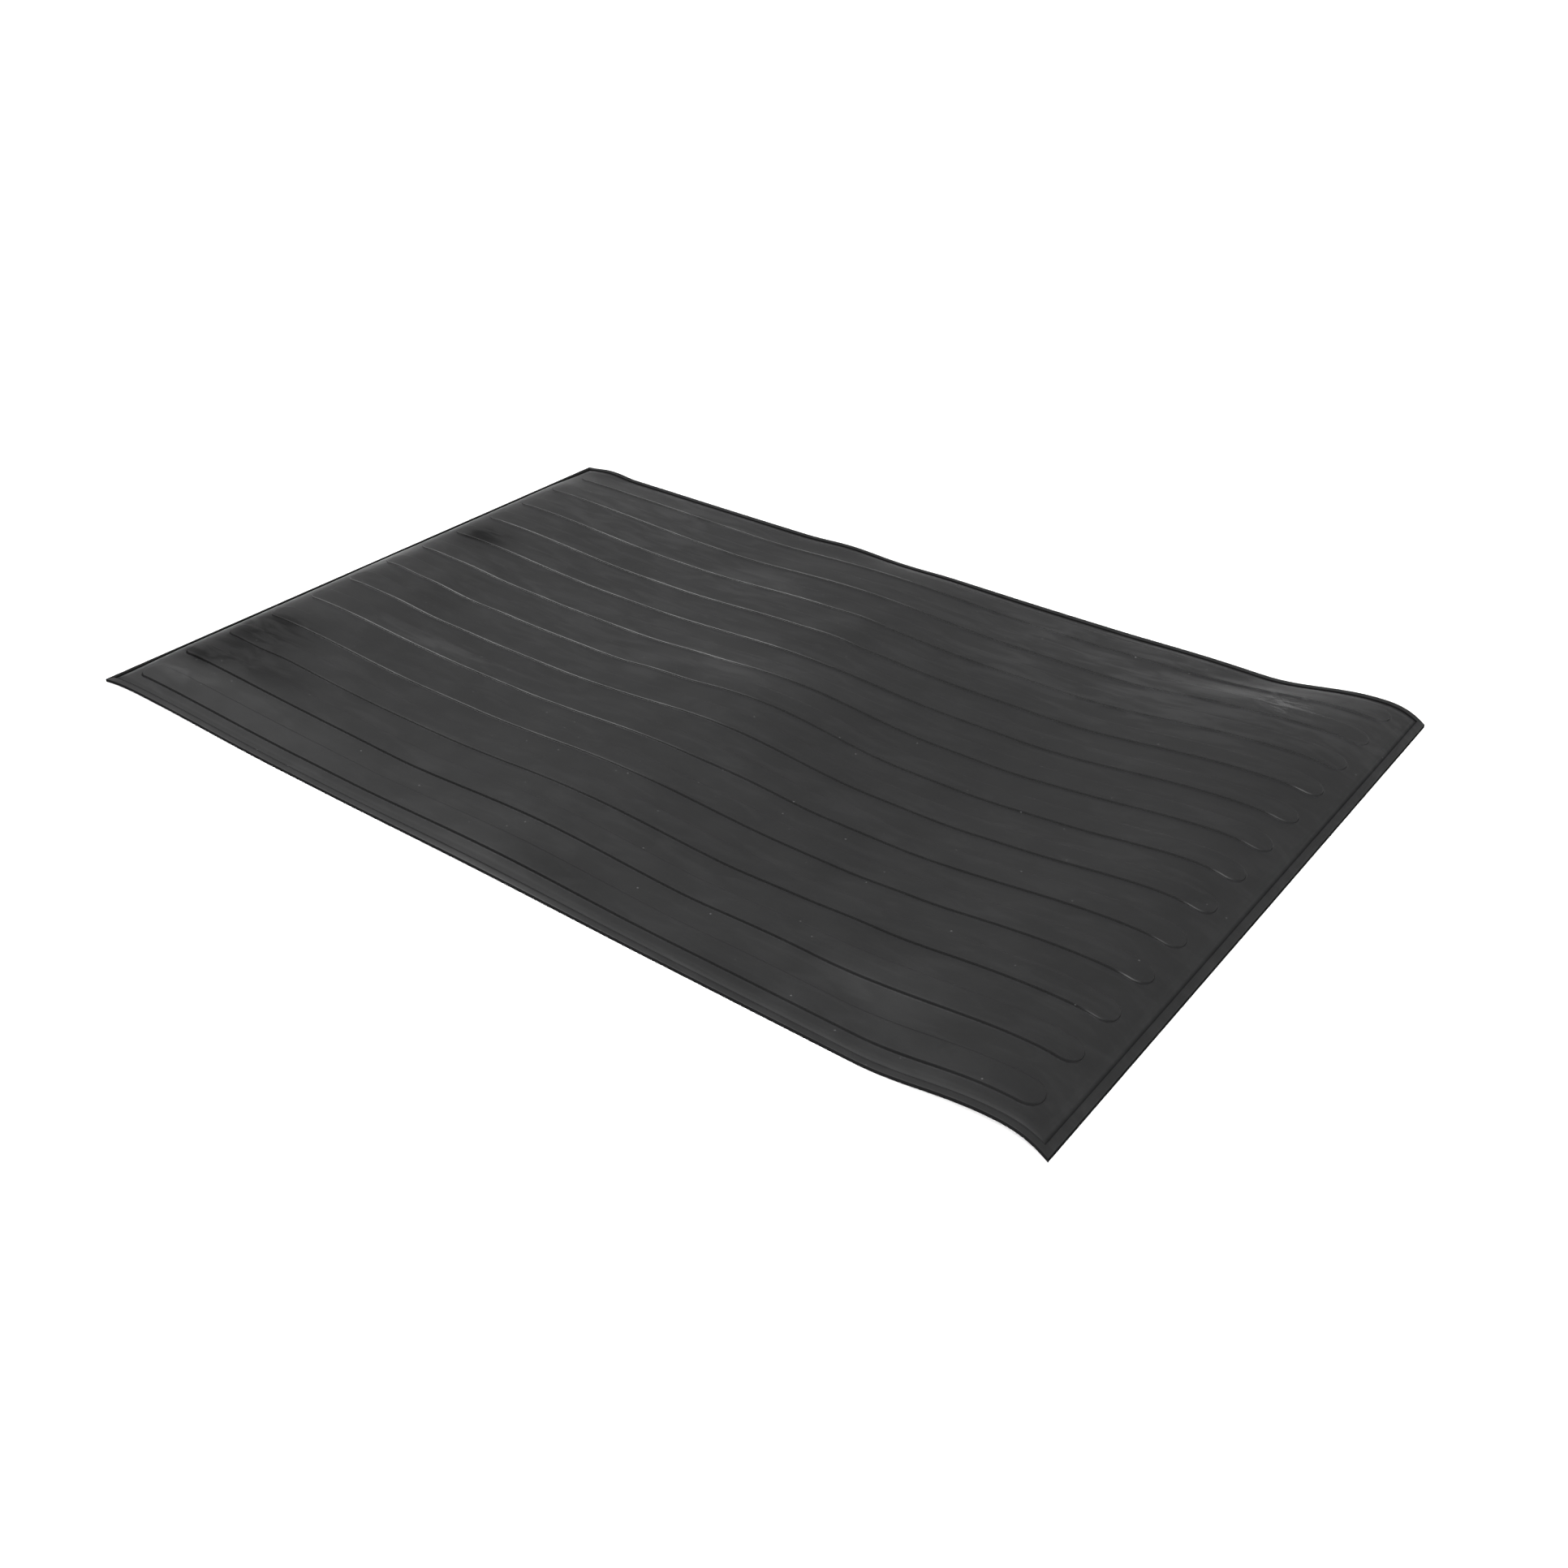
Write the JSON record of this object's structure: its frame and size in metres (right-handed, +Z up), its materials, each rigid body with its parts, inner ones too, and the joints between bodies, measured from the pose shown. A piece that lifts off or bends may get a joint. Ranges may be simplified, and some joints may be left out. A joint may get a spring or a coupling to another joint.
{
  "type": "anti fatigue mat",
  "caption": "Thin cushioned rubber floor mat with long raised round-ended treads and a raised mitred border, lying in shallow waves.",
  "frame": {"origin": "middle of the mat's rectangle, on the floor it lies on", "axes": "+X along the mat towards the end with the highest swell, +Y across the mat towards its back long edge, +Z up"},
  "size_m": [0.9, 0.6, 0.0206],
  "materials": {
    "rubber_sheet": "satin, faint leather-like grain",
    "rubber_tread": "satin, faint leather-like grain",
    "rubber_edge": "satin",
    "rubber_base": "matte, fine grip texture",
    "sponge_rubber": "matte closed-cell sponge"
  },
  "bodies": {
    "root": {"base_sheet": "rubber_base", "sponge_core": "sponge_rubber", "top_sheet": "rubber_sheet", "tread_strip_01": "rubber_tread", "tread_strip_02": "rubber_tread", "tread_strip_03": "rubber_tread", "tread_strip_04": "rubber_tread", "tread_strip_05": "rubber_tread", "tread_strip_06": "rubber_tread", "tread_strip_07": "rubber_tread", "tread_strip_08": "rubber_tread", "tread_strip_09": "rubber_tread", "tread_strip_10": "rubber_tread", "tread_strip_11": "rubber_tread", "tread_strip_12": "rubber_tread", "tread_strip_13": "rubber_tread", "front_edge_strip": "rubber_edge", "back_edge_strip": "rubber_edge", "left_edge_strip": "rubber_edge", "right_edge_strip": "rubber_edge"}
  },
  "joints": []
}
